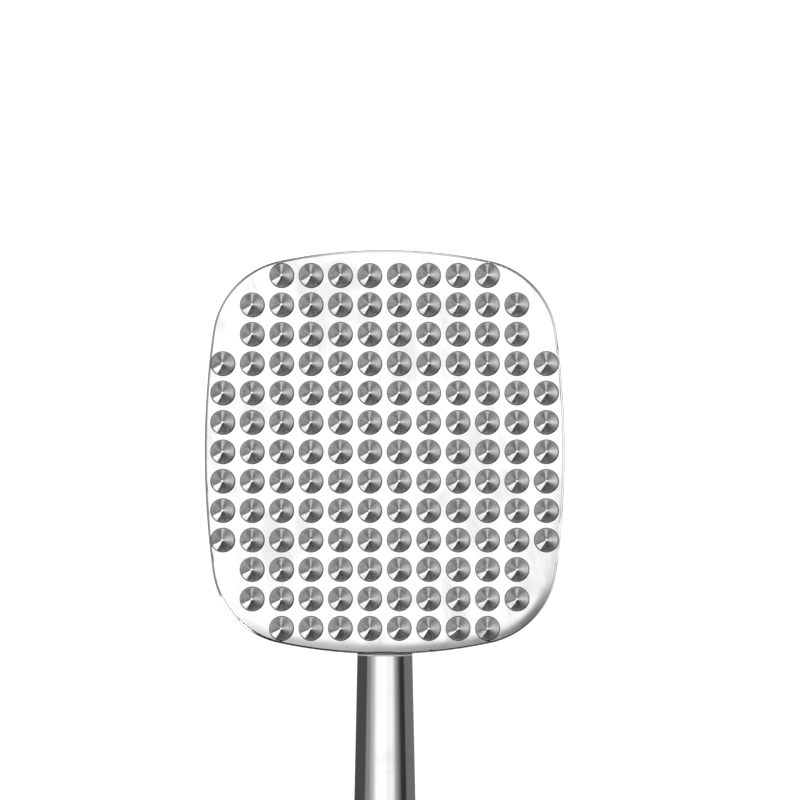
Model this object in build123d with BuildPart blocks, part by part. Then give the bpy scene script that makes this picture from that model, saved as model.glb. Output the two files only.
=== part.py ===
"""Meat mallet: a flat studded head on a tapered tubular handle, in millimetres.

The head lies in XY with its studs up (+Z) and the handle runs towards -Y.
The origin is the centre of the smooth pounding face, on the underside of the head.

The head is a thick face plate carrying riveted cone studs, closed from behind by a drawn pan
with an aluminium block inside. A tang screwed under the face plate leaves the head through
a notch in the pan's wall and goes on as a tie rod through the handle tube. The end cap screws
onto the rod and clamps the tube between the collar on the head and itself.
"""

from build123d import *
import os

# Head
HEAD_WIDTH = 98.0
HEAD_LENGTH = 110.0
HEAD_THICKNESS = 13.0
SIDE_BOW = 4.8
END_BOW = 7.2
CORNER_RADIUS = 23.0

# Face plate: a rim with a rounded edge, and a step behind it that locates the plate in the pan
RIM_THICKNESS = 3.4
FACE_EDGE_RADIUS = 0.8
STEP_THICKNESS = 0.8
STEP_CLEARANCE = 0.05
SEAM_CHAMFER = 0.2

# Back pan
PAN_WALL = 1.5
PAN_EDGE_RADIUS = 4.0

# Filler block between the pan's floor and the face plate
BLOCK_CLEARANCE = 0.2

# Cone studs, each with a shank riveted into a countersink behind the plate
STUD_PITCH = 8.0
STUD_MARGIN = 0.3
FOOT_RADIUS = 3.4
FOOT_DRAFT = 0.3
FOOT_HEIGHT = 1.0
RIM_BEVEL_WIDTH = 0.2
RIM_BEVEL_HEIGHT = 0.1
CONE_HEIGHT = 2.0
TIP_RADIUS = 0.3
TIP_CROWN = 0.05
SEAT_DEPTH = 1.0
SEAT_CLEARANCE = 0.05
SHANK_RADIUS = 1.25
SHANK_CLEARANCE = 0.02
RIVET_FLARE = 0.3

# Tang: a flat plate under the face plate, with a neck that leaves the head through the pan
TANG_WIDTH = 32.0
TANG_LENGTH = 38.0
TANG_THICKNESS = 4.6
TANG_SETBACK = 5.0
TANG_CORNER_RADIUS = 4.0
TANG_CLEARANCE = 0.25
NECK_WIDTH = 10.0
NOTCH_CLEARANCE = 0.1

# Tie rod, in one piece with the tang
ROD_RADIUS = 4.0
ROD_CLEARANCE = 0.1
ROD_CHAMFER = 0.6
ROD_END_GAP = 0.5

# Countersunk screws that hold the tang to the face plate, set midway between studs
SCREW_RADIUS = 2.0
SCREW_HEAD_RADIUS = 3.8
SCREW_CLEARANCE = 0.05
SCREW_HOLE_DEPTH = 2.6
SCREW_END_GAP = 0.2
SCREW_SPACING_IN_STUDS = 2
SCREW_SOCKET_RADIUS = 1.4
SCREW_SOCKET_DEPTH = 1.3

# Neck: a collar coped to the head's edge, and a seal between the collar and the tube
COLLAR_BASE = 0.15
COLLAR_RISE = 0.3
NECK_SEAL_THICKNESS = 0.3
SEAL_INSET = 0.05

# Handle tube
TUBE_NECK_RADIUS = 7.55
TUBE_END_RADIUS = 10.9
TUBE_LENGTH = 160.0
TUBE_WALL = 1.2
TUBE_EDGE_RADIUS = 0.15
PLUG_CLEARANCE = 0.05
BUSH_LENGTH = 12.0

# End cap
END_SEAL_THICKNESS = 0.4
CAP_STRAIGHT = 6.0
CAP_DOME = 14.0
CAP_SPIGOT = 10.0
CAP_EDGE_RADIUS = 0.3
HANG_HOLE_RADIUS = 3.5
HANG_HOLE_EDGE_RADIUS = 0.8
HANG_HOLE_MARGIN = 0.4
SOCKET_WALL = 2.0

# Heights in the head that neighbouring pieces share
SEAM_Z = HEAD_THICKNESS - RIM_THICKNESS
PLATE_BACK_Z = SEAM_Z - STEP_THICKNESS
SEAT_Z = HEAD_THICKNESS - SEAT_DEPTH
TANG_BOTTOM_Z = PLATE_BACK_Z - TANG_THICKNESS
AXIS_Z = PLATE_BACK_Z - TANG_THICKNESS / 2

# Distances along the handle from the end of the head
HEAD_END_Y = -HEAD_LENGTH / 2
TUBE_START = COLLAR_BASE + NECK_SEAL_THICKNESS
TUBE_END = TUBE_START + TUBE_LENGTH
CAP_START = TUBE_END + END_SEAL_THICKNESS
HANG_HOLE_PLACE = (
    CAP_START + CAP_STRAIGHT + HANG_HOLE_MARGIN + HANG_HOLE_EDGE_RADIUS + HANG_HOLE_RADIUS
)
SOCKET_END = HANG_HOLE_PLACE - HANG_HOLE_RADIUS - SOCKET_WALL
ROD_END = SOCKET_END - ROD_END_GAP
ROD_HOLE_RADIUS = ROD_RADIUS + ROD_CLEARANCE

# Plane across the handle at the end of the head, facing down the handle
ACROSS_HANDLE = Plane(origin=(0, HEAD_END_Y, AXIS_Z), x_dir=(1, 0, 0), z_dir=(0, -1, 0))
# Plane along the handle: local X is the distance from the head, local Y the radius
ALONG_HANDLE = Plane(origin=(0, HEAD_END_Y, AXIS_Z), x_dir=(0, -1, 0), z_dir=(0, 0, 1))
HANDLE_AXIS = Axis((0, HEAD_END_Y, AXIS_Z), (0, -1, 0))


def head_outline(inset=0.0):
    """The head from above: a rectangle with bowed sides and round corners, drawn in by inset."""
    corner_x = HEAD_WIDTH / 2 - SIDE_BOW
    corner_y = HEAD_LENGTH / 2 - END_BOW
    with BuildSketch() as outline:
        with BuildLine():
            ThreePointArc((corner_x, -corner_y), (HEAD_WIDTH / 2, 0), (corner_x, corner_y))
            ThreePointArc((corner_x, corner_y), (0, HEAD_LENGTH / 2), (-corner_x, corner_y))
            ThreePointArc((-corner_x, corner_y), (-HEAD_WIDTH / 2, 0), (-corner_x, -corner_y))
            ThreePointArc((-corner_x, -corner_y), (0, -HEAD_LENGTH / 2), (corner_x, -corner_y))
        make_face()
        fillet(outline.vertices(), CORNER_RADIUS)
        if inset > 0:
            offset(amount=-inset, mode=Mode.REPLACE)
    return outline.sketch


def stud_rows():
    """Rows of stud centres from the far end: all of the grid whose feet lie well in the head."""
    field = head_outline(FOOT_RADIUS + STUD_MARGIN).face()
    columns = int(HEAD_WIDTH / 2 / STUD_PITCH) + 1
    reach = int(HEAD_LENGTH / 2 / STUD_PITCH)
    across = [(i + 0.5) * STUD_PITCH for i in range(-columns, columns)]
    grid = [[(x, -j * STUD_PITCH) for x in across] for j in range(-reach, reach + 1)]
    rows = [[place for place in row if field.is_inside(Vector(*place))] for row in grid]
    return [row for row in rows if row]


def tang_outline(clearance=0.0):
    """The tang from above with its neck, grown by clearance all round."""
    with BuildSketch() as outline:
        with Locations((0, HEAD_END_Y + TANG_SETBACK + TANG_LENGTH / 2)):
            RectangleRounded(
                TANG_WIDTH + 2 * clearance,
                TANG_LENGTH + 2 * clearance,
                TANG_CORNER_RADIUS + clearance,
            )
        with Locations((0, HEAD_END_Y)):
            Rectangle(
                NECK_WIDTH + 2 * clearance,
                TANG_SETBACK + TANG_CORNER_RADIUS,
                align=(Align.CENTER, Align.MIN),
            )
    return outline.sketch


def tube_radius(distance):
    """Outside radius of the handle tube at a distance from the end of the head."""
    share = (distance - TUBE_START) / TUBE_LENGTH
    return TUBE_NECK_RADIUS + (TUBE_END_RADIUS - TUBE_NECK_RADIUS) * share


def plug_radius(distance):
    """Radius of a plug that fits the tapered bore of the tube at a distance from the head."""
    return tube_radius(distance) - TUBE_WALL - PLUG_CLEARANCE


def save(piece, name):
    """Labels a finished piece and writes it to its own STEP file."""
    piece.part.label = name
    export_step(piece.part, f"parts/{name}.step")


STUD_ROWS = stud_rows()
ALL_STUDS = [place for row in STUD_ROWS for place in row]

# The screws stand on the middle of the tang, moved to the nearest middle of four studs
TANG_MIDDLE_Y = HEAD_END_Y + TANG_SETBACK + TANG_LENGTH / 2
SCREW_CENTRE_Y = (round(TANG_MIDDLE_Y / STUD_PITCH - 0.5) + 0.5) * STUD_PITCH
SCREW_SPACING = SCREW_SPACING_IN_STUDS * STUD_PITCH

os.makedirs("parts", exist_ok=True)

# Face plate
with BuildPart() as face_plate:
    with BuildSketch(Plane.XY.offset(SEAM_Z)):
        add(head_outline())
    extrude(amount=RIM_THICKNESS)
    fillet(face_plate.faces().sort_by(Axis.Z)[-1].edges(), FACE_EDGE_RADIUS)
    chamfer(face_plate.faces().sort_by(Axis.Z)[0].edges(), SEAM_CHAMFER)
    with BuildSketch(Plane.XY.offset(PLATE_BACK_Z)):
        add(head_outline(PAN_WALL + STEP_CLEARANCE))
    extrude(amount=STEP_THICKNESS)
    with Locations(*[(x, y, HEAD_THICKNESS) for x, y in ALL_STUDS]):
        CounterBoreHole(
            radius=SHANK_RADIUS + SHANK_CLEARANCE,
            counter_bore_radius=FOOT_RADIUS + SEAT_CLEARANCE,
            counter_bore_depth=SEAT_DEPTH,
        )
    with Locations(*[(x, y, PLATE_BACK_Z) for x, y in ALL_STUDS]):
        Cone(
            bottom_radius=SHANK_RADIUS + SHANK_CLEARANCE + RIVET_FLARE,
            top_radius=SHANK_RADIUS + SHANK_CLEARANCE,
            height=RIVET_FLARE,
            align=(Align.CENTER, Align.CENTER, Align.MIN),
            mode=Mode.SUBTRACT,
        )
    with Locations(Plane(origin=(0, SCREW_CENTRE_Y, PLATE_BACK_Z), z_dir=(0, 0, -1))):
        with GridLocations(SCREW_SPACING, SCREW_SPACING, 2, 2):
            Hole(radius=SCREW_RADIUS + SCREW_CLEARANCE, depth=SCREW_HOLE_DEPTH)
save(face_plate, "face_plate")

# Back pan, with a notch in its wall for the tang's neck
with BuildPart() as back_pan:
    with BuildSketch():
        add(head_outline())
    extrude(amount=SEAM_Z)
    fillet(back_pan.faces().sort_by(Axis.Z)[0].edges(), PAN_EDGE_RADIUS)
    offset(amount=-PAN_WALL, openings=back_pan.faces().sort_by(Axis.Z)[-1])
    chamfer(back_pan.faces().sort_by(Axis.Z)[-1].outer_wire().edges(), SEAM_CHAMFER)
    with BuildSketch(Plane.XY.offset(TANG_BOTTOM_Z - NOTCH_CLEARANCE)):
        with Locations((0, HEAD_END_Y)):
            Rectangle(NECK_WIDTH + 2 * NOTCH_CLEARANCE, 2 * TANG_SETBACK)
    extrude(amount=TANG_THICKNESS + STEP_THICKNESS + NOTCH_CLEARANCE, mode=Mode.SUBTRACT)
save(back_pan, "back_pan")

# Filler block, pocketed for the tang
with BuildPart() as filler_block:
    with BuildSketch(Plane.XY.offset(PAN_WALL)):
        add(head_outline(PAN_WALL + BLOCK_CLEARANCE))
    extrude(amount=PLATE_BACK_Z - PAN_WALL)
    fillet(
        filler_block.faces().sort_by(Axis.Z)[0].edges(),
        PAN_EDGE_RADIUS - PAN_WALL + BLOCK_CLEARANCE,
    )
    with BuildSketch(Plane.XY.offset(TANG_BOTTOM_Z - TANG_CLEARANCE)):
        add(tang_outline(TANG_CLEARANCE))
    extrude(amount=TANG_THICKNESS + TANG_CLEARANCE, mode=Mode.SUBTRACT)
save(filler_block, "filler_block")

# Tang and tie rod in one piece
with BuildPart() as tang_rod:
    with BuildSketch(Plane.XY.offset(TANG_BOTTOM_Z)):
        add(tang_outline())
    extrude(amount=TANG_THICKNESS)
    with BuildSketch(ACROSS_HANDLE):
        Circle(ROD_RADIUS)
    extrude(amount=ROD_END)
    chamfer(tang_rod.faces().sort_by(Axis.Y)[0].edges(), ROD_CHAMFER)
    with Locations(Plane(origin=(0, SCREW_CENTRE_Y, TANG_BOTTOM_Z), z_dir=(0, 0, -1))):
        with GridLocations(SCREW_SPACING, SCREW_SPACING, 2, 2):
            CounterSinkHole(
                radius=SCREW_RADIUS + SCREW_CLEARANCE,
                counter_sink_radius=SCREW_HEAD_RADIUS + SCREW_CLEARANCE,
                counter_sink_angle=90,
            )
save(tang_rod, "tang_rod")

# One anchor screw, standing on its head, and then the four of them
SCREW_TOP_Z = PLATE_BACK_Z + SCREW_HOLE_DEPTH - SCREW_END_GAP
with BuildPart() as screw:
    with BuildSketch(Plane.XZ):
        with BuildLine():
            Polyline(
                (0, TANG_BOTTOM_Z),
                (SCREW_HEAD_RADIUS, TANG_BOTTOM_Z),
                (SCREW_RADIUS, TANG_BOTTOM_Z + SCREW_HEAD_RADIUS - SCREW_RADIUS),
                (SCREW_RADIUS, SCREW_TOP_Z),
                (0, SCREW_TOP_Z),
                close=True,
            )
        make_face()
    revolve(axis=Axis.Z)
    with BuildSketch(Plane.XY.offset(TANG_BOTTOM_Z)):
        RegularPolygon(SCREW_SOCKET_RADIUS, 6)
    extrude(amount=SCREW_SOCKET_DEPTH, mode=Mode.SUBTRACT)
with BuildPart() as anchor_screws:
    with Locations((0, SCREW_CENTRE_Y)):
        with GridLocations(SCREW_SPACING, SCREW_SPACING, 2, 2):
            add(screw.part)
save(anchor_screws, "anchor_screws")

# One stud on the Z axis, and then a node for each row
RIM_RADIUS = FOOT_RADIUS - FOOT_DRAFT
RIM_Z = HEAD_THICKNESS + FOOT_HEIGHT
CONE_Z = RIM_Z + RIM_BEVEL_HEIGHT
TIP_Z = CONE_Z + CONE_HEIGHT
with BuildPart() as stud:
    with BuildSketch(Plane.XZ):
        with BuildLine():
            Polyline(
                (0, PLATE_BACK_Z),
                (SHANK_RADIUS + RIVET_FLARE, PLATE_BACK_Z),
                (SHANK_RADIUS, PLATE_BACK_Z + RIVET_FLARE),
                (SHANK_RADIUS, SEAT_Z),
                (FOOT_RADIUS, SEAT_Z),
                (FOOT_RADIUS, HEAD_THICKNESS),
                (RIM_RADIUS, RIM_Z),
                (RIM_RADIUS - RIM_BEVEL_WIDTH, CONE_Z),
                (TIP_RADIUS, TIP_Z),
                (0, TIP_Z + TIP_CROWN),
                close=True,
            )
        make_face()
    revolve(axis=Axis.Z)
for number, row in enumerate(STUD_ROWS, start=1):
    with BuildPart() as stud_row:
        with Locations(*row):
            add(stud.part)
    save(stud_row, f"stud_row_{number:02d}")

# Neck collar: a ring cut to the shape of the closed head, relieved for the tang's shoulder
with BuildPart() as closed_head:
    with BuildSketch():
        add(head_outline())
    extrude(amount=HEAD_THICKNESS)
    fillet(closed_head.faces().sort_by(Axis.Z)[-1].edges(), FACE_EDGE_RADIUS)
    fillet(closed_head.faces().sort_by(Axis.Z)[0].edges(), PAN_EDGE_RADIUS)
with BuildPart() as neck_collar:
    with BuildSketch(ACROSS_HANDLE.offset(-COLLAR_RISE)):
        Circle(TUBE_NECK_RADIUS)
    extrude(amount=COLLAR_RISE + COLLAR_BASE)
    add(closed_head.part, mode=Mode.SUBTRACT)
    with BuildSketch(ACROSS_HANDLE):
        Circle(ROD_HOLE_RADIUS)
    extrude(amount=COLLAR_BASE, mode=Mode.SUBTRACT)
    with BuildSketch(ACROSS_HANDLE):
        Rectangle(NECK_WIDTH + 2 * NOTCH_CLEARANCE, TANG_THICKNESS + 2 * NOTCH_CLEARANCE)
    extrude(amount=-COLLAR_RISE, mode=Mode.SUBTRACT)
save(neck_collar, "neck_collar")

with BuildPart() as neck_seal:
    with BuildSketch(ACROSS_HANDLE.offset(COLLAR_BASE)):
        Circle(TUBE_NECK_RADIUS - SEAL_INSET)
        Circle(ROD_HOLE_RADIUS, mode=Mode.SUBTRACT)
    extrude(amount=NECK_SEAL_THICKNESS)
save(neck_seal, "neck_seal")

# Bush that centres the tube on the rod behind the neck
with BuildPart() as neck_bush:
    with BuildSketch(ALONG_HANDLE):
        with BuildLine():
            Polyline(
                (TUBE_START, ROD_HOLE_RADIUS),
                (TUBE_START, plug_radius(TUBE_START)),
                (TUBE_START + BUSH_LENGTH, plug_radius(TUBE_START + BUSH_LENGTH)),
                (TUBE_START + BUSH_LENGTH, ROD_HOLE_RADIUS),
                close=True,
            )
        make_face()
    revolve(axis=HANDLE_AXIS)
save(neck_bush, "neck_bush")

with BuildPart() as handle_tube:
    with BuildSketch(ALONG_HANDLE):
        with BuildLine():
            Polyline(
                (TUBE_START, TUBE_NECK_RADIUS - TUBE_WALL),
                (TUBE_START, TUBE_NECK_RADIUS),
                (TUBE_END, TUBE_END_RADIUS),
                (TUBE_END, TUBE_END_RADIUS - TUBE_WALL),
                close=True,
            )
        make_face()
    revolve(axis=HANDLE_AXIS)
    outside = handle_tube.faces().sort_by(SortBy.AREA)[-1]
    fillet(outside.edges().filter_by(GeomType.CIRCLE), TUBE_EDGE_RADIUS)
save(handle_tube, "handle_tube")

with BuildPart() as end_seal:
    with BuildSketch(ACROSS_HANDLE.offset(TUBE_END)):
        Circle(TUBE_END_RADIUS - SEAL_INSET)
        Circle(TUBE_END_RADIUS - TUBE_WALL, mode=Mode.SUBTRACT)
    extrude(amount=END_SEAL_THICKNESS)
save(end_seal, "end_seal")

# End cap: spigot in the tube, domed end, blind socket for the rod and a hole to hang it by
SPIGOT_START = CAP_START - CAP_SPIGOT
DOME_START = CAP_START + CAP_STRAIGHT
with BuildPart() as end_cap:
    with BuildSketch(ALONG_HANDLE):
        with BuildLine():
            EllipticalCenterArc((DOME_START, 0), CAP_DOME, TUBE_END_RADIUS, arc_size=90)
            Polyline(
                (DOME_START, TUBE_END_RADIUS),
                (CAP_START + CAP_EDGE_RADIUS, TUBE_END_RADIUS),
                (CAP_START, TUBE_END_RADIUS - CAP_EDGE_RADIUS),
                (CAP_START, plug_radius(CAP_START)),
                (SPIGOT_START, plug_radius(SPIGOT_START)),
                (SPIGOT_START, ROD_HOLE_RADIUS),
                (SOCKET_END, ROD_HOLE_RADIUS),
                (SOCKET_END, 0),
                (DOME_START + CAP_DOME, 0),
            )
        make_face()
    revolve(axis=HANDLE_AXIS)
    with Locations((0, HEAD_END_Y - HANG_HOLE_PLACE, AXIS_Z)):
        Hole(radius=HANG_HOLE_RADIUS)
    mouths = end_cap.edges(Select.LAST).filter_by(GeomType.BSPLINE).sort_by(Axis.Z)
    for mouth in mouths:
        fillet(mouth, HANG_HOLE_EDGE_RADIUS)
save(end_cap, "end_cap")
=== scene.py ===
"""Looks of the meat mallet: studs, metals, studio and camera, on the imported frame, in metres."""

from math import cos, pi, radians, sin, tan

import bpy
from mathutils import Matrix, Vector


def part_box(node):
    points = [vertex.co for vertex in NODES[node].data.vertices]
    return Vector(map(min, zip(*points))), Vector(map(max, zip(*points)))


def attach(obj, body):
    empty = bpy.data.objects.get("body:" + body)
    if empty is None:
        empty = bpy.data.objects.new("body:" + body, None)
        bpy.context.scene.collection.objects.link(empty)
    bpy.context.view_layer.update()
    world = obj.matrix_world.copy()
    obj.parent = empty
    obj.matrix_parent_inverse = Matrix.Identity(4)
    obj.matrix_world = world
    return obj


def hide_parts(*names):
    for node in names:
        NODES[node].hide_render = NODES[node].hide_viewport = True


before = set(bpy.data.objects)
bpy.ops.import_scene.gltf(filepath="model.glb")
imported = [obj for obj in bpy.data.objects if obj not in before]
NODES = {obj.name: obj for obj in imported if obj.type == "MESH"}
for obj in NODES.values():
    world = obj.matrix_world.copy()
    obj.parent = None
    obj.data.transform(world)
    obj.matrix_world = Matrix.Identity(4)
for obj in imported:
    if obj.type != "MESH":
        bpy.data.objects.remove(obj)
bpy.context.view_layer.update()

MM = 0.001
BODY = "root"

# Studs: heights and widths above the face
FOOT_HEIGHT = 1.0 * MM
FOOT_DRAFT = 0.3 * MM
RIM_BEVEL_WIDTH = 0.2 * MM
RIM_BEVEL_HEIGHT = 0.1 * MM
TIP_RADIUS = 0.3 * MM
TIP_CROWN = 0.05 * MM
SEAT_DEPTH = 1.0 * MM
SHANK_RADIUS = 1.25 * MM
STUD_SIDES = 24
SHANK_SIDES = 12
SHARP_ANGLE = radians(15)
STUD_SEED = 7

# Head seen from above, and the border that polishing has rolled over
FACE_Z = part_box("face_plate")[1].z
TIP_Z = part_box("stud_row_07")[1].z
HEAD_HALF = (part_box("face_plate")[1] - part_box("face_plate")[0]) / 2
SIDE_BOW = 4.8 * MM
END_BOW = 7.2 * MM
HEAD_CORNER = 12.8 * MM
ROLLED_WIDTH = 5.0 * MM
ROLLED_DROP = 0.34 * MM

# Camera: looks almost square down on the studded face
CAMERA_DISTANCE = 1.35
FRAME_WIDTH = 217.628 * MM
SENSOR_WIDTH = 36.0
AIM_X = 4.2 * MM
AIM_Y = 14.1 * MM
LEAN_RIGHT = radians(0.5)
LEAN_BACK = radians(1.2)
CAMERA_NEAR = 0.01
CAMERA_FAR = 20.0

# Tones of the metals: where clean, and where marked or cloudy; the stud foot tone is painted shade, the stud
# tip tone a painted highlight, and the dark rod tones also give painted shade on the neck collar
FACE_TONES = (0.93, 0.76)
PAN_TONES = (0.86, 0.70)
PAN_SCUFF_TONE = 0.62
STUD_TONES = (0.56, 0.80)
STUD_GRIME_TONE = 0.50
# Painted shade: the foot of each stud is darkened where it meets the plate
STUD_FOOT_SHADE_TONE = 0.20
# Painted highlight: the very tip of each stud is painted white
STUD_TIP_HIGHLIGHT_TONE = 1.0
TUBE_TONES = (0.93, 0.86)
TUBE_HANDLED_TONE = 0.78
# Dark steel tones; on the neck collar they are painted shade for the band at the neck
ROD_AND_COLLAR_SHADE_TONES = (0.26, 0.14)
BLOCK_TONES = (0.76, 0.62)
WASHER_TONES = (0.90, 0.80)
MILL_STEP = 0.9 * MM
# Depths below the tip between which the painted highlight fades in
TIP_HIGHLIGHT_START = 0.12 * MM
TIP_HIGHLIGHT_END = 0.02 * MM
STUD_ANISOTROPY = 0.95
GROOVES_AROUND = 0.25

# Floor: as bright as the studio, and unseen by the metal
FLOOR_REACH = 3.0
FLOOR_GAP = 0.05 * MM
FLOOR_TONES = (0.88, 0.84)
FLOOR_GLOW = 0.85


# ---------------------------------------------------------------------------------------------
# Small helpers for node trees
# ---------------------------------------------------------------------------------------------


def add_node(tree, kind, settings=None, **inputs):
    """Adds a node, sets its properties and its inputs; an input may be a value or a socket."""
    node = tree.nodes.new(kind)
    for key, value in (settings or {}).items():
        setattr(node, key, value)
    for key, value in inputs.items():
        socket = node.inputs[int(key[1:])] if key[0] == "i" and key[1:].isdigit() else node.inputs[key]
        if isinstance(value, bpy.types.NodeSocket):
            tree.links.new(value, socket)
        else:
            socket.default_value = value
    return node


def maths(tree, operation, first, second=0.0, third=0.0, clamp=False):
    """One Math node; returns its value."""
    settings = {"operation": operation, "use_clamp": clamp}
    return add_node(tree, "ShaderNodeMath", settings, i0=first, i1=second, i2=third).outputs[0]


def between(tree, value, low, high, to_low=0.0, to_high=1.0):
    """Smoothly carries value from low..high to to_low..to_high."""
    settings = {"interpolation_type": "SMOOTHSTEP"}
    node = add_node(tree, "ShaderNodeMapRange", settings, i0=value, i1=low, i2=high, i3=to_low, i4=to_high)
    return node.outputs[0]


def blended(tree, share, first, second):
    """A colour share of the way from first to second."""
    node = add_node(tree, "ShaderNodeMix", {"data_type": "RGBA"})
    for socket, value in ((node.inputs[0], share), (node.inputs[6], first), (node.inputs[7], second)):
        if isinstance(value, bpy.types.NodeSocket):
            tree.links.new(value, socket)
        else:
            socket.default_value = value
    return node.outputs[2]


def grey(value):
    """A neutral colour."""
    return (value, value, value * 1.004, 1.0)


def stretched(tree, vector, scale, turn=(0.0, 0.0, 0.0)):
    """Coordinates scaled by an amount along each axis, after a turn."""
    settings = {"vector_type": "TEXTURE"}
    turned = add_node(tree, "ShaderNodeMapping", settings, Vector=vector, Rotation=turn)
    return add_node(tree, "ShaderNodeMapping", None, Vector=turned.outputs[0], Scale=scale).outputs[0]


def noise(tree, vector, scale, detail=3.0, roughness=0.5, distortion=0.0):
    """Fractal noise from 0 to 1."""
    node = add_node(tree, "ShaderNodeTexNoise", None, Vector=vector, Scale=scale, Detail=detail,
                    Roughness=roughness, Distortion=distortion)
    return node.outputs[0]


def bumped(tree, height, distance, strength=1.0, normal=None):
    """A normal bent by a height from 0 to 1 that stands distance metres high."""
    node = add_node(tree, "ShaderNodeBump", None, Height=height, Distance=distance, Strength=strength)
    if normal is not None:
        tree.links.new(normal, node.inputs["Normal"])
    return node.outputs[0]


def new_metal(name):
    """An empty material with a metal shader; returns material, tree, shader and coordinates."""
    material = bpy.data.materials.new(name)
    material.use_nodes = True
    tree = material.node_tree
    shader = tree.nodes["Principled BSDF"]
    shader.inputs["Metallic"].default_value = 1.0
    place = add_node(tree, "ShaderNodeTexCoord")
    return material, tree, shader, place


# ---------------------------------------------------------------------------------------------
# Metals and plastic
# ---------------------------------------------------------------------------------------------


def hairlines(tree, place, count_per_metre, turn, width=0.5):
    """Thin straight wipe marks in one direction, broken up along their length; 0 to 1."""
    lines = noise(tree, stretched(tree, place, (count_per_metre, count_per_metre / 60, 40), (0, 0, turn)),
                  1.0, 2.0, 0.6)
    return between(tree, lines, width, width + 0.18)


def depth_inside_head(tree, spot):
    """Distance in from the head's outline, in metres, worked out from a point on its face."""
    split = add_node(tree, "ShaderNodeSeparateXYZ", None, Vector=spot).outputs
    off_x = maths(tree, "ABSOLUTE", split[0])
    off_y = maths(tree, "ABSOLUTE", split[1])
    along_side = maths(tree, "POWER", maths(tree, "DIVIDE", off_y, HEAD_HALF.y - END_BOW), 2.0)
    along_end = maths(tree, "POWER", maths(tree, "DIVIDE", off_x, HEAD_HALF.x - SIDE_BOW), 2.0)
    flat_x = maths(tree, "MULTIPLY_ADD", along_side, SIDE_BOW, off_x)
    flat_y = maths(tree, "MULTIPLY_ADD", along_end, END_BOW, off_y)
    past_x = maths(tree, "MAXIMUM", maths(tree, "SUBTRACT", flat_x, HEAD_HALF.x - HEAD_CORNER), 0.0)
    past_y = maths(tree, "MAXIMUM", maths(tree, "SUBTRACT", flat_y, HEAD_HALF.y - HEAD_CORNER), 0.0)
    squares = maths(tree, "ADD", maths(tree, "POWER", past_x, 2.0), maths(tree, "POWER", past_y, 2.0))
    return maths(tree, "SUBTRACT", HEAD_CORNER, maths(tree, "SQRT", squares))


def polished_face_steel():
    """Mirror-polished plate: cloudy polish, wipe marks and edges that polishing has rolled over."""
    material, tree, shader, place = new_metal("polished_face_steel")
    spot = place.outputs["Object"]
    depth = depth_inside_head(tree, spot)
    shoulder = maths(tree, "DIVIDE", depth, ROLLED_WIDTH, clamp=True)
    level = maths(tree, "SUBTRACT", 1.0, maths(tree, "POWER", maths(tree, "SUBTRACT", 1.0, shoulder), 2.0))
    clouds = noise(tree, spot, 55.0, 4.0, 0.55, 0.6)
    smears = noise(tree, stretched(tree, spot, (60, 22, 60), (0, 0, radians(20))), 1.0, 5.0, 0.6, 1.2)
    fine = noise(tree, spot, 2600.0, 2.0)
    tone = maths(tree, "MULTIPLY", between(tree, clouds, 0.40, 0.62), between(tree, smears, 0.42, 0.62))
    colour = blended(tree, tone, *map(grey, FACE_TONES))
    tree.links.new(colour, shader.inputs["Base Color"])
    wipes = maths(tree, "MAXIMUM", hairlines(tree, spot, 2600, radians(24), 0.60),
                  hairlines(tree, spot, 1900, radians(-58), 0.62))
    rough = maths(tree, "MULTIPLY_ADD", between(tree, smears, 0.3, 0.8), 0.10, 0.085)
    rough = maths(tree, "MULTIPLY_ADD", wipes, 0.06, rough)
    tree.links.new(rough, shader.inputs["Roughness"])
    bent = bumped(tree, level, ROLLED_DROP)
    bent = bumped(tree, clouds, 0.00006, 0.35, bent)
    bent = bumped(tree, fine, 0.000002, 0.25, bent)
    bent = bumped(tree, wipes, 0.0000012, 0.5, bent)
    tree.links.new(bent, shader.inputs["Normal"])
    return material


def drawn_pan_steel():
    """Drawn and polished shell, scuffed on the flat pounding face and bright on its bends."""
    material, tree, shader, place = new_metal("drawn_pan_steel")
    spot = place.outputs["Object"]
    height = add_node(tree, "ShaderNodeSeparateXYZ", None, Vector=spot).outputs[2]
    flat = between(tree, height, 0.0, 0.6 * MM, 1.0, 0.0)
    clouds = noise(tree, spot, 38.0, 5.0, 0.6, 0.8)
    scuffs = maths(tree, "MAXIMUM", hairlines(tree, spot, 1500, radians(8), 0.56),
                   hairlines(tree, spot, 2300, radians(71), 0.58))
    scuffs = maths(tree, "MAXIMUM", scuffs, hairlines(tree, spot, 1100, radians(-37), 0.60))
    worn = maths(tree, "MULTIPLY", scuffs, maths(tree, "MULTIPLY_ADD", flat, 0.8, 0.2))
    colour = blended(tree, between(tree, clouds, 0.35, 0.75), *map(grey, PAN_TONES))
    colour = blended(tree, maths(tree, "MULTIPLY", worn, 0.5), colour, grey(PAN_SCUFF_TONE))
    tree.links.new(colour, shader.inputs["Base Color"])
    rough = maths(tree, "MULTIPLY_ADD", between(tree, clouds, 0.3, 0.8), 0.12, 0.13)
    rough = maths(tree, "MULTIPLY_ADD", worn, 0.14, rough)
    tree.links.new(rough, shader.inputs["Roughness"])
    bent = bumped(tree, clouds, 0.00008, 0.4)
    bent = bumped(tree, worn, 0.000004, 0.8, bent)
    tree.links.new(bent, shader.inputs["Normal"])
    return material


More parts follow.
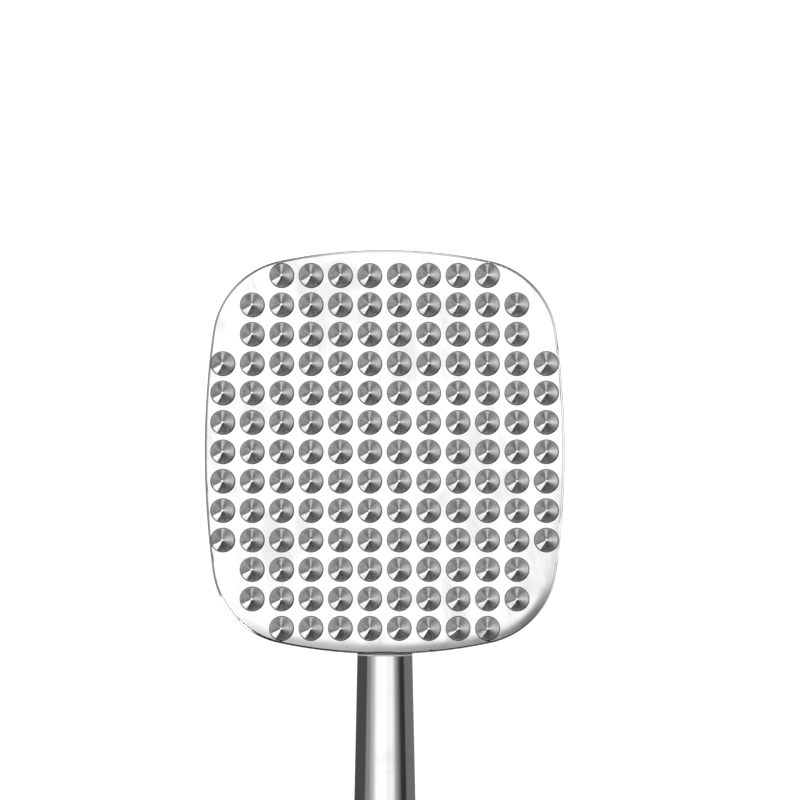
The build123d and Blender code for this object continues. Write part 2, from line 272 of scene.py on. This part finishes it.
def turned_stud_steel():
    """Lathe-turned cones: fine rings round each stud, which streak every highlight to the tip; painted shade
    darkens each stud's foot and a painted highlight whitens its tip.
    """
    material, tree, shader, place = new_metal("turned_stud_steel")
    chart = place.outputs["UV"]
    split = add_node(tree, "ShaderNodeSeparateXYZ", None, Vector=chart)
    rings_at = add_node(tree, "ShaderNodeCombineXYZ", None, X=maths(tree, "MULTIPLY", split.outputs[0], 1.5),
                        Y=maths(tree, "MULTIPLY", split.outputs[1], 70.0))
    rings = noise(tree, rings_at.outputs[0], 1.0, 3.0, 0.7)
    patches = noise(tree, place.outputs["Object"], 700.0, 3.0, 0.6)
    grime = noise(tree, place.outputs["Object"], 90.0, 2.0)
    tone = maths(tree, "MULTIPLY_ADD", rings, 0.35, maths(tree, "MULTIPLY", patches, 0.65))
    colour = blended(tree, between(tree, tone, 0.30, 0.70), *map(grey, STUD_TONES))
    colour = blended(tree, between(tree, grime, 0.55, 0.75, 0.0, 0.35), colour, grey(STUD_GRIME_TONE))
    height = add_node(tree, "ShaderNodeSeparateXYZ", None, Vector=place.outputs["Object"]).outputs[2]
    # Painted shade: the foot band of each stud is blended to a dark tone
    foot = between(tree, height, FACE_Z + FOOT_HEIGHT * 0.6, FACE_Z + FOOT_HEIGHT, 1.0, 0.0)
    colour = blended(tree, foot, colour, grey(STUD_FOOT_SHADE_TONE))
    # Painted highlight: the top of each cone is blended to full white
    tip = between(tree, height, TIP_Z - TIP_HIGHLIGHT_START, TIP_Z - TIP_HIGHLIGHT_END)
    colour = blended(tree, tip, colour, grey(STUD_TIP_HIGHLIGHT_TONE))
    tree.links.new(colour, shader.inputs["Base Color"])
    rough = maths(tree, "MULTIPLY_ADD", patches, 0.06, 0.18)
    tree.links.new(rough, shader.inputs["Roughness"])
    bent = bumped(tree, rings, 0.000012, 0.6)
    tree.links.new(bent, shader.inputs["Normal"])
    shader.inputs["Anisotropic"].default_value = STUD_ANISOTROPY
    shader.inputs["Anisotropic Rotation"].default_value = GROOVES_AROUND
    along = add_node(tree, "ShaderNodeTangent", {"direction_type": "UV_MAP", "uv_map": "UVMap"})
    tree.links.new(along.outputs[0], shader.inputs["Tangent"])
    return material


def polished_tube_steel():
    """Polished tube with a grain drawn along the handle and faint handling marks."""
    material, tree, shader, place = new_metal("polished_tube_steel")
    spot = place.outputs["Object"]
    grain = noise(tree, stretched(tree, spot, (5200, 60, 5200)), 1.0, 2.0, 0.6)
    streaks = noise(tree, stretched(tree, spot, (420, 9, 420)), 1.0, 3.0, 0.55)
    hands = noise(tree, spot, 45.0, 4.0, 0.6, 1.0)
    colour = blended(tree, between(tree, streaks, 0.3, 0.7), *map(grey, TUBE_TONES))
    colour = blended(tree, between(tree, hands, 0.55, 0.75, 0.0, 0.4), colour, grey(TUBE_HANDLED_TONE))
    tree.links.new(colour, shader.inputs["Base Color"])
    rough = maths(tree, "MULTIPLY_ADD", between(tree, hands, 0.4, 0.8), 0.07, 0.10)
    rough = maths(tree, "MULTIPLY_ADD", grain, 0.05, rough)
    tree.links.new(rough, shader.inputs["Roughness"])
    bent = bumped(tree, grain, 0.0000015, 0.5)
    bent = bumped(tree, streaks, 0.000006, 0.3, bent)
    tree.links.new(bent, shader.inputs["Normal"])
    return material


def machined_steel():
    """Plain, dark machined steel for the hidden rod, screws and bush; on the neck collar the dark tone is
    painted shade for the band at the neck.
    """
    material, tree, shader, place = new_metal("machined_steel")
    spot = place.outputs["Object"]
    marks = noise(tree, stretched(tree, spot, (300, 5200, 300)), 1.0, 2.0, 0.6)
    stains = noise(tree, spot, 120.0, 4.0, 0.6)
    colour = blended(tree, between(tree, stains, 0.3, 0.8), *map(grey, ROD_AND_COLLAR_SHADE_TONES))
    tree.links.new(colour, shader.inputs["Base Color"])
    tree.links.new(maths(tree, "MULTIPLY_ADD", marks, 0.2, 0.28), shader.inputs["Roughness"])
    tree.links.new(bumped(tree, marks, 0.000006, 0.6), shader.inputs["Normal"])
    return material


def milled_aluminium():
    """Aluminium block with the curved marks of a face mill."""
    material, tree, shader, place = new_metal("milled_aluminium")
    spot = place.outputs["Object"]
    split = add_node(tree, "ShaderNodeSeparateXYZ", None, Vector=spot)
    sweep = maths(tree, "MULTIPLY", maths(tree, "MULTIPLY", split.outputs[0], split.outputs[0]), 9.0)
    march = maths(tree, "MULTIPLY", maths(tree, "ADD", split.outputs[1], sweep), 2 * pi / MILL_STEP)
    arcs = maths(tree, "MULTIPLY_ADD", maths(tree, "SINE", march), 0.5, 0.5)
    clouds = noise(tree, spot, 80.0, 4.0)
    colour = blended(tree, clouds, *map(grey, BLOCK_TONES))
    tree.links.new(colour, shader.inputs["Base Color"])
    tree.links.new(maths(tree, "MULTIPLY_ADD", arcs, 0.12, 0.30), shader.inputs["Roughness"])
    tree.links.new(bumped(tree, arcs, 0.000008, 0.6), shader.inputs["Normal"])
    return material


def white_washer_plastic():
    """White food-safe sealing washer."""
    material, tree, shader, place = new_metal("white_washer_plastic")
    spot = place.outputs["Object"]
    shader.inputs["Metallic"].default_value = 0.0
    clouds = noise(tree, spot, 400.0, 4.0)
    pores = noise(tree, spot, 6000.0, 2.0)
    tree.links.new(blended(tree, clouds, *map(grey, WASHER_TONES)), shader.inputs["Base Color"])
    tree.links.new(maths(tree, "MULTIPLY_ADD", clouds, 0.15, 0.42), shader.inputs["Roughness"])
    tree.links.new(bumped(tree, pores, 0.000008, 0.4), shader.inputs["Normal"])
    return material


# ---------------------------------------------------------------------------------------------
# Studs, one piece for each row
# ---------------------------------------------------------------------------------------------


def ring_of(tree, low_z, high_z, low_radius, high_radius, sides=STUD_SIDES, fill="NONE"):
    """One band of a stud between two heights, with its unrolled UV chart."""
    settings = {"fill_type": fill}
    band = add_node(tree, "GeometryNodeMeshCone", settings, Vertices=sides,
                    **{"Radius Top": high_radius, "Radius Bottom": low_radius,
                       "Depth": maths(tree, "SUBTRACT", high_z, low_z)})
    chart = add_node(tree, "GeometryNodeStoreNamedAttribute", {"data_type": "FLOAT2", "domain": "CORNER"},
                     Geometry=band.outputs["Mesh"], Name="UVMap")
    tree.links.new(band.outputs["UV Map"], chart.inputs["Value"])
    raised = add_node(tree, "ShaderNodeCombineXYZ", None, Z=low_z)
    return add_node(tree, "GeometryNodeTransform", None, Geometry=chart.outputs[0],
                    Translation=raised.outputs[0]).outputs[0]


def stud_row_tree():
    """Geometry nodes that make one stud and set a row of them out along X."""
    tree = bpy.data.node_groups.new("stud_row", "GeometryNodeTree")
    tree.interface.new_socket("Geometry", in_out="OUTPUT", socket_type="NodeSocketGeometry")
    tree.interface.new_socket("Count", in_out="INPUT", socket_type="NodeSocketInt")
    for name in ("Pitch", "Row Y", "Shank Z", "Seat Z", "Face Z", "Top Z", "Foot Radius"):
        tree.interface.new_socket(name, in_out="INPUT", socket_type="NodeSocketFloat")
    tree.interface.new_socket("Steel", in_out="INPUT", socket_type="NodeSocketMaterial")
    given = add_node(tree, "NodeGroupInput").outputs

    rim_radius = maths(tree, "SUBTRACT", given["Foot Radius"], FOOT_DRAFT)
    cone_radius = maths(tree, "SUBTRACT", rim_radius, RIM_BEVEL_WIDTH)
    rim_z = maths(tree, "ADD", given["Face Z"], FOOT_HEIGHT)
    cone_z = maths(tree, "ADD", rim_z, RIM_BEVEL_HEIGHT)
    crown_z = maths(tree, "SUBTRACT", given["Top Z"], TIP_CROWN)
    bands = [
        ring_of(tree, given["Seat Z"], given["Face Z"], given["Foot Radius"], given["Foot Radius"]),
        ring_of(tree, given["Face Z"], rim_z, given["Foot Radius"], rim_radius),
        ring_of(tree, rim_z, cone_z, rim_radius, cone_radius),
        ring_of(tree, cone_z, crown_z, cone_radius, TIP_RADIUS),
        ring_of(tree, crown_z, given["Top Z"], TIP_RADIUS, 0.0),
        ring_of(tree, given["Shank Z"], given["Seat Z"], SHANK_RADIUS, SHANK_RADIUS, SHANK_SIDES, "NGON"),
    ]
    joined = add_node(tree, "GeometryNodeJoinGeometry")
    for band in reversed(bands):
        tree.links.new(band, joined.inputs[0])
    welded = add_node(tree, "GeometryNodeMergeByDistance", None, Geometry=joined.outputs[0], Distance=1e-6)
    bend = add_node(tree, "GeometryNodeInputMeshEdgeAngle")
    soft = add_node(tree, "FunctionNodeCompare", {"operation": "LESS_THAN"},
                    i0=bend.outputs["Unsigned Angle"], i1=SHARP_ANGLE)
    smooth = add_node(tree, "GeometryNodeSetShadeSmooth", {"domain": "FACE"}, Geometry=welded.outputs[0])
    creased = add_node(tree, "GeometryNodeSetShadeSmooth", {"domain": "EDGE"}, Geometry=smooth.outputs[0])
    tree.links.new(soft.outputs[0], creased.inputs["Shade Smooth"])

    last = maths(tree, "SUBTRACT", given["Count"], 1)
    half = maths(tree, "MULTIPLY", maths(tree, "MULTIPLY", last, given["Pitch"]), -0.5)
    start = add_node(tree, "ShaderNodeCombineXYZ", None, X=half, Y=given["Row Y"]).outputs[0]
    step = add_node(tree, "ShaderNodeCombineXYZ", None, X=given["Pitch"]).outputs[0]
    line = add_node(tree, "GeometryNodeMeshLine", {"mode": "OFFSET"}, Count=given["Count"],
                    Offset=step, **{"Start Location": start})
    turn = add_node(tree, "FunctionNodeRandomValue", {"data_type": "FLOAT"}, Seed=STUD_SEED)
    turn.inputs[3].default_value = 2 * pi
    facing = add_node(tree, "ShaderNodeCombineXYZ", None, Z=turn.outputs[1])
    studs = add_node(tree, "GeometryNodeInstanceOnPoints", None, Points=line.outputs[0],
                     Instance=creased.outputs[0], Rotation=facing.outputs[0])
    real = add_node(tree, "GeometryNodeRealizeInstances", None, Geometry=studs.outputs[0])
    finished = add_node(tree, "GeometryNodeSetMaterial", None, Geometry=real.outputs[0],
                        Material=given["Steel"])
    end = add_node(tree, "NodeGroupOutput")
    tree.links.new(finished.outputs[0], end.inputs[0])
    return tree


def made_plain(source, name):
    """A plain mesh piece from an object with live modifiers; the source is removed."""
    bpy.context.view_layer.update()
    evaluated = source.evaluated_get(bpy.context.evaluated_depsgraph_get())
    mesh = bpy.data.meshes.new_from_object(evaluated)
    piece = bpy.data.objects.new(name, mesh)
    bpy.context.scene.collection.objects.link(piece)
    bpy.data.objects.remove(source)
    return piece


def make_stud_rows(steel):
    """Replaces every row of CAD studs with turned studs of the same size."""
    tree = stud_row_tree()
    sockets = {item.name: item.identifier for item in tree.interface.items_tree if item.in_out == "INPUT"}
    rows = sorted(name for name in NODES if name.startswith("stud_row_"))
    middles = [(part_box(name)[0].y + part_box(name)[1].y) / 2 for name in rows]
    pitch = (middles[0] - middles[-1]) / (len(rows) - 1)
    plate_low, plate_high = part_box("face_plate")
    for name, middle in zip(rows, middles):
        low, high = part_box(name)
        foot_radius = (high.y - low.y) / 2
        count = round((high.x - low.x - 2 * foot_radius) / pitch) + 1
        holder = bpy.data.objects.new(name + "_maker", bpy.data.meshes.new(name + "_maker"))
        bpy.context.scene.collection.objects.link(holder)
        modifier = holder.modifiers.new("studs", "NODES")
        modifier.node_group = tree
        sizes = {"Count": count, "Pitch": pitch, "Row Y": middle, "Shank Z": plate_low.z,
                 "Seat Z": plate_high.z - SEAT_DEPTH, "Face Z": plate_high.z, "Top Z": high.z,
                 "Foot Radius": foot_radius, "Steel": steel}
        for label, value in sizes.items():
            modifier[sockets[label]] = value
        piece = made_plain(holder, name + "_turned")
        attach(piece, BODY)
        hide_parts(name)


# ---------------------------------------------------------------------------------------------
# Finishes of the pieces that keep their CAD shape
# ---------------------------------------------------------------------------------------------


def finish(node, material):
    """Gives a CAD node its material."""
    slots = NODES[node].material_slots
    for slot in slots:
        slot.material = material
    if not slots:
        NODES[node].data.materials.append(material)


# ---------------------------------------------------------------------------------------------
# Studio
# ---------------------------------------------------------------------------------------------


HEAD_LOW, HEAD_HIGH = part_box("back_pan")
TUBE_LOW, TUBE_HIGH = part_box("handle_tube")
CAP_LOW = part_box("end_cap")[0]
TUBE_AXIS_Z = (TUBE_LOW.z + TUBE_HIGH.z) / 2

# Cards to each side of the handle, lit by (height in degrees above the handle's axis, light)
FLAG_INNER = 13 * MM
FLAG_STANDOFF = 60 * MM
FLAG_DROP = 0.5 * MM
FLAG_START_Y = TUBE_HIGH.y + 1 * MM
FLAG_END_Y = CAP_LOW.y - 40 * MM
LEFT_FLAG = ((0, 0.07), (30, 0.07), (33, 0.30))
RIGHT_FLAG = ((0, 0.16), (23, 0.16), (25, 0.025), (38, 0.025), (42, 0.10), (46, 0.20), (49, 0.30))

# Light from the studio walls, the band above them and the ceiling, as (azimuth in degrees, light)
WALLS = (
    (0, 1.15), (20, 0.70), (45, 0.34), (66, 0.21), (78, 0.21), (85, 0.90), (95, 0.90), (102, 0.16),
    (122, 0.18), (141, 0.42), (150, 0.40), (165, 0.34), (181, 0.26), (196, 0.25), (205, 0.25),
    (207, 1.9), (237, 1.9), (239.5, 0.0), (285, 0.01), (300, 0.07), (316, 0.20), (331, 0.42),
    (345, 0.80), (360, 1.15),
)
CORNICE = (
    (0, 0.30), (30, 0.35), (60, 0.30), (90, 0.50), (120, 0.30), (150, 0.45), (180, 0.50), (205, 0.20),
    (243, 0.03), (253, 0.45), (300, 0.45), (310, 0.06), (345, 0.12), (360, 0.30),
)
CEILING = (
    (0, 1.15), (180, 1.15), (215, 1.15), (255, 0.55), (285, 0.25), (325, 0.18), (350, 0.80), (360, 1.15),
)
ZENITH_LIGHT = 1.15
BELOW_LIGHT = 0.30
# Heights in degrees between which each band fades into the next
WALLS_FADE = (28, 36)
CORNICE_FADE = (40, 62)
CEILING_FADE = (77, 84)
BELOW_FADE = (-38, -20)


def graded(tree, share, stops, whole):
    """Light at a share of the whole, read off stops of (amount, light)."""
    ramp = add_node(tree, "ShaderNodeValToRGB", None, Fac=share)
    elements = ramp.color_ramp.elements
    while len(elements) < len(stops):
        elements.new(0.5)
    for element, (amount, light) in zip(elements, stops):
        element.position = amount / whole
        element.color = (light, light, light, 1.0)
    return add_node(tree, "ShaderNodeSeparateXYZ", None, Vector=ramp.outputs[0]).outputs[0]


def faded(tree, height_of, heights, below, above):
    """One light below two heights in degrees and another above them."""
    share = between(tree, height_of, radians(heights[0]), radians(heights[1]))
    return add_node(tree, "ShaderNodeMix", {"data_type": "FLOAT"}, i0=share, i2=below, i3=above).outputs[0]


def light_studio():
    """Walls, a band above them and a bright ceiling, as seen in the polished metal."""
    world = bpy.data.worlds.new("studio")
    bpy.context.scene.world = world
    world.use_nodes = True
    tree = world.node_tree
    place = add_node(tree, "ShaderNodeTexCoord").outputs["Generated"]
    split = add_node(tree, "ShaderNodeSeparateXYZ", None, Vector=place).outputs
    azimuth_of = maths(tree, "ARCTAN2", split[1], split[0])
    turn = maths(tree, "FRACT", maths(tree, "DIVIDE", azimuth_of, 2 * pi))
    height_of = maths(tree, "ARCSINE", split[2])
    walls = graded(tree, turn, WALLS, 360)
    light = faded(tree, height_of, WALLS_FADE, walls, graded(tree, turn, CORNICE, 360))
    light = faded(tree, height_of, CORNICE_FADE, light, graded(tree, turn, CEILING, 360))
    light = faded(tree, height_of, CEILING_FADE, light, ZENITH_LIGHT)
    light = faded(tree, height_of, BELOW_FADE, BELOW_LIGHT, light)
    backdrop = add_node(tree, "ShaderNodeBackground", None, Color=light, Strength=1.0)
    out = tree.nodes["World Output"]
    tree.links.new(backdrop.outputs[0], out.inputs["Surface"])


def glow_material(name, stops):
    """A card lit by its height in degrees above the handle's axis."""
    material = bpy.data.materials.new(name)
    material.use_nodes = True
    tree = material.node_tree
    tree.nodes.remove(tree.nodes["Principled BSDF"])
    place = add_node(tree, "ShaderNodeTexCoord").outputs["Object"]
    split = add_node(tree, "ShaderNodeSeparateXYZ", None, Vector=place).outputs
    rise = maths(tree, "SUBTRACT", split[2], TUBE_AXIS_Z)
    angle = maths(tree, "ARCTAN2", rise, maths(tree, "ABSOLUTE", split[0]))
    light = graded(tree, maths(tree, "DIVIDE", angle, pi / 2, clamp=True), stops, 90)
    glow = add_node(tree, "ShaderNodeEmission", None, Color=light, Strength=1.0)
    tree.links.new(glow.outputs[0], tree.nodes["Material Output"].inputs["Surface"])
    return material


def card(name, corners, stops):
    """A flat studio card that only the metal's reflections see."""
    mesh = bpy.data.meshes.new(name)
    mesh.from_pydata(corners, [], [tuple(range(len(corners)))])
    mesh.materials.append(glow_material(name, stops))
    board = bpy.data.objects.new(name, mesh)
    bpy.context.scene.collection.objects.link(board)
    for ray in ("camera", "diffuse", "transmission", "shadow"):
        setattr(board, "visible_" + ray, False)


def flag(side, name, stops):
    """Two low cards beside the handle: one flat below it, one upright up to the last stop."""
    near_x, far_x = side * FLAG_INNER, side * FLAG_STANDOFF
    floor_z = TUBE_LOW.z - FLAG_DROP
    top_z = TUBE_AXIS_Z + FLAG_INNER * tan(radians(stops[-1][0]))
    card(name + "_floor", [(near_x, FLAG_START_Y, floor_z), (far_x, FLAG_START_Y, floor_z),
                           (far_x, FLAG_END_Y, floor_z), (near_x, FLAG_END_Y, floor_z)], stops)
    card(name + "_wall", [(near_x, FLAG_START_Y, floor_z), (near_x, FLAG_START_Y, top_z),
                          (near_x, FLAG_END_Y, top_z), (near_x, FLAG_END_Y, floor_z)], stops)


def lay_floor():
    """A plain pale floor that touches the handle's end and the far edge of the head."""
    drop = HEAD_LOW.z - CAP_LOW.z
    near_y = TUBE_LOW.y
    slope = drop / (HEAD_HIGH.y - near_y)
    middle_z = CAP_LOW.z - near_y * slope - FLOOR_GAP
    corners = [(x * FLOOR_REACH, y * FLOOR_REACH, middle_z + y * FLOOR_REACH * slope)
               for x, y in ((-1, -1), (1, -1), (1, 1), (-1, 1))]
    mesh = bpy.data.meshes.new("floor")
    mesh.from_pydata(corners, [], [(0, 1, 2, 3)])
    floor = bpy.data.objects.new("floor", mesh)
    bpy.context.scene.collection.objects.link(floor)
    material = bpy.data.materials.new("pale_floor")
    material.use_nodes = True
    tree = material.node_tree
    shader = tree.nodes["Principled BSDF"]
    place = add_node(tree, "ShaderNodeTexCoord").outputs["Object"]
    tone = noise(tree, place, 9.0, 2.0)
    tree.links.new(blended(tree, tone, *map(grey, FLOOR_TONES)), shader.inputs["Base Color"])
    shader.inputs["Roughness"].default_value = 0.8
    shader.inputs["Specular IOR Level"].default_value = 0.2
    shader.inputs["Emission Color"].default_value = grey(1.0)
    shader.inputs["Emission Strength"].default_value = FLOOR_GLOW
    mesh.materials.append(material)
    floor.visible_glossy = False


def place_camera():
    """A long lens over the head, leaning a little to the right and towards the handle."""
    camera = bpy.data.cameras.new("camera")
    camera.sensor_width = SENSOR_WIDTH
    camera.lens = SENSOR_WIDTH * CAMERA_DISTANCE / FRAME_WIDTH
    camera.clip_start = CAMERA_NEAR
    camera.clip_end = CAMERA_FAR
    eye = bpy.data.objects.new("camera", camera)
    bpy.context.scene.collection.objects.link(eye)
    aim = Vector((AIM_X, AIM_Y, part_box("face_plate")[1].z))
    away = Vector((sin(LEAN_RIGHT) * cos(LEAN_BACK), -sin(LEAN_BACK), cos(LEAN_RIGHT) * cos(LEAN_BACK)))
    eye.location = aim + away * CAMERA_DISTANCE
    eye.rotation_euler = (LEAN_BACK, LEAN_RIGHT, 0.0)
    bpy.context.scene.camera = eye


place_camera()
make_stud_rows(turned_stud_steel())
tube_steel = polished_tube_steel()
rod_and_collar_shade_steel = machined_steel()
washer = white_washer_plastic()
finish("face_plate", polished_face_steel())
finish("back_pan", drawn_pan_steel())
finish("filler_block", milled_aluminium())
for node in ("handle_tube", "end_cap"):
    finish(node, tube_steel)
# The neck collar takes the dark rod steel as painted shade for the band at the neck
for node in ("tang_rod", "anchor_screws", "neck_bush", "neck_collar"):
    finish(node, rod_and_collar_shade_steel)
for node in ("neck_seal", "end_seal"):
    finish(node, washer)

light_studio()
flag(-1, "left_flag", LEFT_FLAG)
flag(1, "right_flag", RIGHT_FLAG)
lay_floor()

view = bpy.context.scene.view_settings
view.view_transform = "Standard"
view.look = "None"
